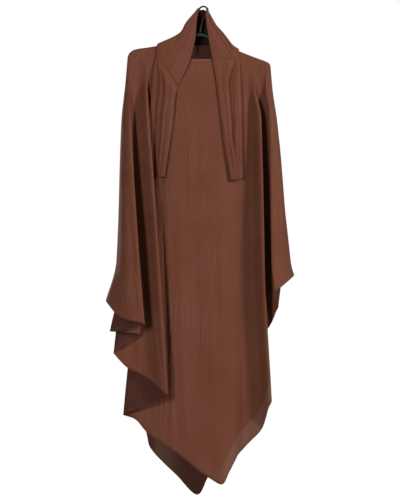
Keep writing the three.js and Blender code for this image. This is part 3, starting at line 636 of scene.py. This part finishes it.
def hood_points(row, sign):
    middle_x = sign * HOOD_SEAM_HALF
    back_x = middle_x + (row["ridgeX"] - middle_x) * HOOD_BACK_SPREAD
    face = np.array([row["faceX"], row["faceY"], row["faceZ"]], float)
    lap = np.array([row["lapX"], row["lapY"], row["lapZ"]], float)
    width = np.linalg.norm(lap - face)
    between = face + (lap - face) * max(LAP_EDGE[1], 1 - LAP_EDGE[0] / width)
    between[1] -= LAP_BULGE[0] + LAP_BULGE[1] * width

    def ridge_side(y):
        return [row["ridgeX"], y * RIDGE_ROUND, row["ridgeZ"] - abs(y) * RIDGE_ROUND * RIDGE_DROP]
    return np.array([
        face, between, lap, ridge_side(row["lapY"]), [row["ridgeX"], 0, row["ridgeZ"]],
        ridge_side(row["backY"]),
        [back_x, row["backY"], (row["ridgeZ"] + row["middleZ"]) / 2 - HOOD_BACK_SAG],
        [middle_x, row["middleY"], row["middleZ"]]])


def rows_to_grid(points, down_steps, across_steps):
    """A fine grid through a table's points, by row and knot."""
    across = curve_through(points, np.linspace(0, points.shape[1] - 1, across_steps + 1))
    down = curve_through(across.transpose(1, 0, 2), np.linspace(0, len(points) - 1, down_steps + 1))
    return down.transpose(1, 0, 2)


# Creases of the hood's front, by shares across from the face edge to the ridge and down from the top:
# start, end, half width across and depth in millimetres.
HOOD_CREASES = {
    "left": ((0.06, 0.0, 0.05, 0.98, 0.02, 1.4), (0.13, 0.05, 0.16, 0.8, 0.018, -1.5),
             (0.2, 0.2, 0.12, 0.62, 0.02, 1.1), (0.3, 0.48, 0.16, 0.66, 0.03, -3.0),
             (0.36, 0.55, 0.2, 0.78, 0.02, 1.8), (0.27, 0.66, 0.1, 0.92, 0.03, -1.7),
             (0.05, 0.78, 0.2, 0.86, 0.015, -1.6), (0.62, 0.3, 0.75, 0.9, 0.04, -1.8),
             (0.8, 0.1, 0.86, 0.8, 0.03, 1.4)),
    "right": ((0.05, 0.02, 0.05, 0.98, 0.018, 1.2), (0.12, 0.1, 0.13, 0.95, 0.015, -1.5),
              (0.2, 0.15, 0.19, 0.9, 0.016, 1.4), (0.3, 0.3, 0.26, 0.85, 0.03, -2.6),
              (0.36, 0.5, 0.32, 0.95, 0.018, 1.5), (0.62, 0.3, 0.74, 0.9, 0.04, -1.8),
              (0.82, 0.15, 0.86, 0.85, 0.03, 1.4)),
}


def press_by_share(grid, rows):
    """Presses creases given by shares across and down a grid, along its normal."""
    across = np.linspace(0, 1, grid.shape[1])[None, :]
    down = np.linspace(0, 1, grid.shape[0])[:, None]
    height = np.zeros(grid.shape[:2])
    for a0, d0, a1, d1, width, depth in rows:
        share = np.clip((down - d0) / (d1 - d0), 0, 1)
        inside = ease(down, d0 - 0.04, d0 + 0.08) * (1 - ease(down, d1 - 0.08, d1 + 0.04))
        height = height + depth * inside * np.exp(-((across - a0 - (a1 - a0) * share) / width) ** 2)
    outward = normals_of(grid)
    middle = outward[grid.shape[0] // 2, grid.shape[1] // 8]
    return grid + outward * (1 if middle[1] < 0 else -1) * height[..., None]


# The inside of the hood is painted near black: painted shade where little light reaches.
hood_inside_painted_shade = crepe("brown_crepe_inside_hood_painted_shade", "#1C0D09", "#21110C", "#291610", 0.0006)
hood_pieces = {}
for name, rows, sign in (("left", HOOD_LEFT_ROWS, -1), ("right", HOOD_RIGHT_ROWS, 1)):
    points = np.array([hood_points(row, sign) for row in rows])
    for row, rise in HOOD_TOP_RISE:
        points[row, -3:, 2] += rise * HOOD_RISE_SHARES
    grid = rows_to_grid(points, HOOD_ROWS, HOOD_STEPS * HOOD_SPANS)
    grid = press_by_share(grid, HOOD_CREASES[name])
    outside = grid[:, ::-1] if sign < 0 else grid
    hood = cloth_object("hood_" + name + "_cloth", outside, crepe_cloth, hood_inside_painted_shade)
    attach(hood, "root")
    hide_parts("hood_" + name)
    hood_pieces[name] = (hood, grid)

# Tie bands: the wide doubled bands of the face edge run on below the hood as two hanging ties with soft
# lengthwise pleats and square ends. They are dyed like the panels, and pressed double they crinkle less.
LAP = 4.4
TIE_RIDGE = 3
TIE_START = -1.0
TIE_KNOTS = 4
TIE_THICK = 1.4
TIE_JOIN_ROWS = 34      # rows over which a tie takes over the shape of the hood's edge
TIE_ROWS = 120
TIE_STEPS = 60
TIE_LEFT_ROWS = [
    (-76.5, -242, -139, -140), (-84, -268, -148, -190), (-90, -320, -156, -270),
    (-95, -372, -160.5, -345), (-105, -442, -158, -430), (-115.5, -512, -154.5, -514),
]
TIE_RIGHT_ROWS = [
    (28.5, -164, 106.5, -150), (37.5, -218, 108.5, -205), (45, -278, 110, -272),
    (52.5, -338, 111, -338), (64.5, -428, 112, -428), (83, -522, 113, -515),
]
TIE_CREASES = {
    "left": ((0.08, 0.1, 0.1, 1.2, 0.42, 9.0), (0.1, 0.0, 0.14, 0.98, 0.03, 1.1),
             (0.22, 0.0, 0.3, 0.9, 0.03, -1.5), (0.36, 0.05, 0.42, 0.99, 0.035, 1.5),
             (0.5, 0.1, 0.52, 0.8, 0.03, -1.4), (0.66, 0.0, 0.6, 0.96, 0.04, 1.1),
             (0.82, 0.1, 0.78, 0.99, 0.05, -1.6)),
    "right": ((0.9, -0.1, 0.9, 1.2, 0.3, 7.0), (0.52, 0.0, 0.5, 0.8, 0.1, -5.0),
              (0.08, 0.0, 0.12, 0.97, 0.03, 1.2), (0.2, 0.05, 0.3, 0.95, 0.03, -1.4),
              (0.34, 0.0, 0.44, 0.99, 0.035, 1.3), (0.5, 0.0, 0.56, 0.85, 0.03, -1.9),
              (0.7, 0.0, 0.62, 0.7, 0.05, -1.8), (0.86, 0.1, 0.88, 0.98, 0.04, 1.5)),
}
crepe_band = crepe("brown_crepe_pressed_double", "#663826", "#6D402F", "#80503F", 0.0011)

tie_pieces = {}
for name, rows in (("left", TIE_LEFT_ROWS), ("right", TIE_RIGHT_ROWS)):
    share = np.linspace(0, 1, TIE_KNOTS + 1)
    points = []
    for inner_x, inner_z, outer_x, outer_z in rows:
        x = inner_x + (outer_x - inner_x) * share
        z = inner_z + (outer_z - inner_z) * share
        out = front_out(x, z) + LAP + TIE_RIDGE * np.sin(np.pi * share)
        points.append(np.stack([x, -out, z - TIE_START], 1))
    grid = rows_to_grid(np.array(points), TIE_ROWS, TIE_STEPS)
    grid = press_by_share(grid, TIE_CREASES[name])
    hood_edge = hood_pieces[name][1][-1, :2 * HOOD_STEPS + 1]
    hood_share = np.linspace(0, 1, len(hood_edge))
    tie_share = np.linspace(0, 1, TIE_STEPS + 1)
    joined = [np.interp(tie_share, hood_share, hood_edge[:, axis]) for axis in range(3)]
    hold = 1 - ease(np.arange(len(grid)), 0, TIE_JOIN_ROWS)
    grid = grid + (np.stack(joined, 1) - grid[0])[None] * hold[:, None, None]
    outside = grid[:, ::-1] if name == "left" else grid
    tie = cloth_object("tie_" + name + "_band", outside, crepe_band, crepe_reverse_painted_shade, TIE_THICK)
    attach(tie, "root")
    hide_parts("tie_" + name)
    tie_pieces[name] = (tie, grid)

# Neck band: the front neckline's edge, turned and pressed, standing a few millimetres above the panel. Its
# lit edge is painted lighter all over, a painted highlight.
NECK_BAND_X = (-42, 29)
NECK_BAND_HEIGHT = 7
NECK_BAND_LEAN = 1.2
NECK_BAND_THICK = 1.2
NECK_BAND_PAINTED_HIGHLIGHT = 0.3
SEAM_GAP = 0.3
up, x = np.meshgrid(np.linspace(1, 0, 15), np.linspace(*NECK_BAND_X, 72), indexing="ij")
stand = -front_out(x, np.full_like(x, NECKLINE_Z)) + up * NECK_BAND_LEAN - 0.5 * np.sin(np.pi * up)
neck_grid = np.stack([x, stand, NECKLINE_Z + SEAM_GAP + up * NECK_BAND_HEIGHT], -1)
neck_painted_highlight = np.full(neck_grid.shape[:2], NECK_BAND_PAINTED_HIGHLIGHT)
neck_band = cloth_object("neck_band_edge", neck_grid, crepe_band, crepe_reverse_painted_shade, NECK_BAND_THICK,
                         neck_painted_highlight)
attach(neck_band, "root")
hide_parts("neck_band")

# Hems: the free edges are rolled narrow and sewn, so a thin firm cord of cloth runs along each one.
HEM_ROLL = (1.9, 1.5)
HEM_SIDES = 8


def swept_bar(name, path, height, width, sides, material, normals=None):
    """A closed bar of oval section along a path in millimetres, with rounded ends."""
    path = np.asarray(path, float)
    tangent = np.gradient(path, axis=0)
    tangent /= np.linalg.norm(tangent, axis=1)[:, None]
    flat = np.tile([0.0, 1.0, 0.0], (len(path), 1)) if normals is None else normals
    flat = flat - tangent * (flat * tangent).sum(1)[:, None]
    flat /= np.linalg.norm(flat, axis=1)[:, None]
    up = np.cross(flat, tangent)
    caps = ((0.35, 1 - 0.35), (0.8, 1 - 0.8))
    stations = [(path[0] - tangent[0] * height / 2 * far, up[0], flat[0], size) for size, far in caps]
    stations += [(p, u, f, 1) for p, u, f in zip(path, up, flat)]
    stations += [(path[-1] + tangent[-1] * height / 2 * far, up[-1], flat[-1], size)
                 for size, far in reversed(caps)]
    angles = 2 * np.pi * np.arange(sides) / sides
    rings = [p + size / 2 * (height * np.cos(angles)[:, None] * u + width * np.sin(angles)[:, None] * f)
             for p, u, f, size in stations]
    faces = []
    for r in range(len(rings) - 1):
        for s in range(sides):
            a, b = r * sides + s, r * sides + (s + 1) % sides
            faces.append((a, a + sides, b + sides, b))
    last = (len(rings) - 1) * sides
    faces += [tuple(range(sides)), tuple(range(last + sides - 1, last - 1, -1))]
    mesh = bpy.data.meshes.new(name)
    mesh.from_pydata((np.concatenate(rings) * MM).tolist(), [], faces)
    mesh.materials.append(material)
    mesh.polygons.foreach_set("use_smooth", np.ones(len(mesh.polygons), bool))
    bar = bpy.data.objects.new(name, mesh)
    scene.collection.objects.link(bar)
    mesh.update()
    return bar


hem_cloth = crepe("brown_crepe_rolled_hem", "#57302A", "#653B30", "#7A5044", 0.0006)
hem_edges = {
    "front_hem": (front_grid[-1], normals_of(front_grid)[-1]),
    "back_hem": (back_grid[-1], normals_of(back_grid)[-1]),
    "hood_left_edge": (hood_pieces["left"][1][:, 0], normals_of(hood_pieces["left"][1])[:, 0]),
    "hood_right_edge": (hood_pieces["right"][1][:, 0], normals_of(hood_pieces["right"][1])[:, 0]),
}
for name, (edge, facing) in hem_edges.items():
    hem = swept_bar(name, edge, *HEM_ROLL, HEM_SIDES, hem_cloth, facing)
    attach(hem, "root")

# Stitches: one row of polyester thread holds the front and back hems, each tie end and the neck band.
STITCH_STEP = 0.0042
STITCH_LONG = 0.0027
STITCH_WIDE = 0.00045
thread = new_material("brown_polyester_thread")
tree = thread.node_tree
place = add_node(tree, "ShaderNodeTexCoord")
ply = add_node(tree, "ShaderNodeTexNoise", {"Scale": 1400.0}, {"Vector": place.outputs["Object"]})
sheen = add_node(tree, "ShaderNodeMix", {6: linear("#5A332A"), 7: linear("#7B4D40")},
                 {0: ply.outputs[0]}, data_type="RGBA")
spun = add_node(tree, "ShaderNodeBsdfPrincipled", {"Roughness": 0.5}, {"Base Color": sheen.outputs[2]})
add_node(tree, "ShaderNodeOutputMaterial", None, {0: spun.outputs[0]})


def stitch_tree():
    """Geometry nodes that lay stitches of a given step, length and width along a line of edges."""
    tree = bpy.data.node_groups.new("stitch_row", "GeometryNodeTree")
    tree.interface.new_socket("Geometry", in_out="INPUT", socket_type="NodeSocketGeometry")
    for name, value in (("Step", STITCH_STEP), ("Length", STITCH_LONG), ("Width", STITCH_WIDE)):
        socket = tree.interface.new_socket(name, in_out="INPUT", socket_type="NodeSocketFloat")
        socket.default_value = value
    tree.interface.new_socket("Material", in_out="INPUT", socket_type="NodeSocketMaterial")
    tree.interface.new_socket("Geometry", in_out="OUTPUT", socket_type="NodeSocketGeometry")
    given = add_node(tree, "NodeGroupInput")
    line = add_node(tree, "GeometryNodeMeshToCurve", None, {"Mesh": given.outputs["Geometry"]})
    spots = add_node(tree, "GeometryNodeCurveToPoints", None,
                     {"Curve": line.outputs[0], "Length": given.outputs["Step"]}, mode="LENGTH")
    stitch = add_node(tree, "GeometryNodeMeshCylinder", {"Vertices": 6},
                      {"Radius": given.outputs["Width"], "Depth": given.outputs["Length"]})
    laid = add_node(tree, "GeometryNodeInstanceOnPoints", None, {
        "Points": spots.outputs["Points"], "Instance": stitch.outputs["Mesh"],
        "Rotation": spots.outputs["Rotation"]})
    real = add_node(tree, "GeometryNodeRealizeInstances", None, {"Geometry": laid.outputs[0]})
    dyed = add_node(tree, "GeometryNodeSetMaterial", None,
                    {"Geometry": real.outputs[0], "Material": given.outputs["Material"]})
    add_node(tree, "NodeGroupOutput", None, {"Geometry": dyed.outputs[0]})
    return tree


stitches = stitch_tree()
sockets = {item.name: item.identifier for item in stitches.interface.items_tree if item.in_out == "INPUT"}


def stitch_row(name, path, facing):
    """A row of stitches on the outer face of a cloth, made a plain mesh."""
    lifted = (np.asarray(path) + np.asarray(facing) * (CLOTH / 2 + 0.05)) * MM
    mesh = bpy.data.meshes.new(name)
    mesh.from_pydata(lifted.tolist(), [(i, i + 1) for i in range(len(lifted) - 1)], [])
    row = bpy.data.objects.new(name, mesh)
    scene.collection.objects.link(row)
    sew = row.modifiers.new("stitches", "NODES")
    sew.node_group = stitches
    sew[sockets["Material"]] = thread
    bpy.context.view_layer.update()
    made = bpy.data.meshes.new_from_object(row.evaluated_get(bpy.context.evaluated_depsgraph_get()))
    row.modifiers.clear()
    row.data = made
    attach(row, "root")
    return row


def outward(grid, side):
    normal = normals_of(grid)
    return normal * np.where(normal[..., 1:2] * side < 0, -1, 1)


front_rows = stitch_row("front_hem_stitches", front_grid[-2], outward(front_grid, -1)[-2])
back_rows = stitch_row("back_hem_stitches", back_grid[-2], outward(back_grid, 1)[-2])
neck_rows = stitch_row("neck_band_stitches", neck_grid[-4], outward(neck_grid, -1)[-4] * 1.3)
for name, (tie, grid) in tie_pieces.items():
    face = outward(grid, -1)
    stitch_row("tie_" + name + "_stitches", grid[-3], face[-3] * 1.6)

# Hanger: slim moulded arms that the cloth hides, and a coated wire hook whose tip stands out on top.
ARM_HEIGHT = 12
ARM_WIDTH = 9
ARM_REACH = (-213, 186)
ARM_MIDDLE_X = -10
ARM_CLEARANCE = 2.2
ARM_WALL = 1.4
ARM_STEPS = 40
WIRE = 5
HOOK_INNER_R = 11
HOOK_ANGLES = (-60, 205)
HOOK_STEM = ((0, 0), (2.5, 14), (5, 26), (9.5, 36))
END_FIRST = 0.35

moulded = new_material("black_moulded_polystyrene")
tree = moulded.node_tree
place = add_node(tree, "ShaderNodeTexCoord")
orange_peel = add_node(tree, "ShaderNodeTexNoise", {"Scale": 900.0}, {"Vector": place.outputs["Object"]})
dull = add_node(tree, "ShaderNodeMapRange", {"To Min": 0.38, "To Max": 0.55},
                {"Value": orange_peel.outputs[0]})
rise = add_node(tree, "ShaderNodeBump", {"Strength": 0.15, "Distance": 0.0002},
                {"Height": orange_peel.outputs[0]})
skin = add_node(tree, "ShaderNodeBsdfPrincipled", {"Base Color": linear("#151213"), "IOR": 1.59},
                {"Roughness": dull.outputs[0], "Normal": rise.outputs[0]})
add_node(tree, "ShaderNodeOutputMaterial", None, {0: skin.outputs[0]})

coated = new_material("black_coated_wire")
tree = coated.node_tree
place = add_node(tree, "ShaderNodeTexCoord")
brushed = add_node(tree, "ShaderNodeTexNoise", {"Scale": 350.0}, {"Vector": place.outputs["Object"]})
worn = add_node(tree, "ShaderNodeMapRange", {"To Min": 0.3, "To Max": 0.5}, {"Value": brushed.outputs[0]})
coat = add_node(tree, "ShaderNodeBsdfPrincipled", {
    "Base Color": linear("#170F0E"), "Specular IOR Level": 0.4}, {"Roughness": worn.outputs[0]})
add_node(tree, "ShaderNodeOutputMaterial", None, {0: coat.outputs[0]})

arm_drop = ARM_WALL / 2 + ARM_CLEARANCE + ARM_HEIGHT / 2
arm_x = np.r_[np.linspace(ARM_REACH[0], ARM_MIDDLE_X, ARM_STEPS),
              np.linspace(ARM_MIDDLE_X, ARM_REACH[1], ARM_STEPS)[1:]]
arm_path = np.stack([arm_x, 0 * arm_x, shoulder_z(arm_x) - arm_drop], 1)
arms = swept_bar("hanger_arms_moulded", arm_path, ARM_HEIGHT, ARM_WIDTH, 28, moulded)
foot_z = float(shoulder_z(ARM_MIDDLE_X)) - arm_drop + ARM_HEIGHT / 2 + SEAM_GAP + (1 - END_FIRST) * WIRE / 2
bow = np.radians(np.linspace(*HOOK_ANGLES, 60))
bow_r = HOOK_INNER_R + WIRE / 2
hook_knots = np.array([[ARM_MIDDLE_X + right, 0, foot_z + up] for right, up in HOOK_STEM]
                      + [[bow_r * math.cos(a), 0, -HOOK_INNER_R + bow_r * math.sin(a)] for a in bow[::5]])
hook_path = curve_through(hook_knots[None], np.linspace(0, len(hook_knots) - 1, 130))[0]
hook = swept_bar("hanger_hook_wire", hook_path, WIRE, WIRE, 20, coated)
for piece, node, slot in ((arms, "hanger_arms", "hanger_plastic"), (hook, "hanger_hook", "hook_steel")):
    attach(piece, "root")
    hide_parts(node)
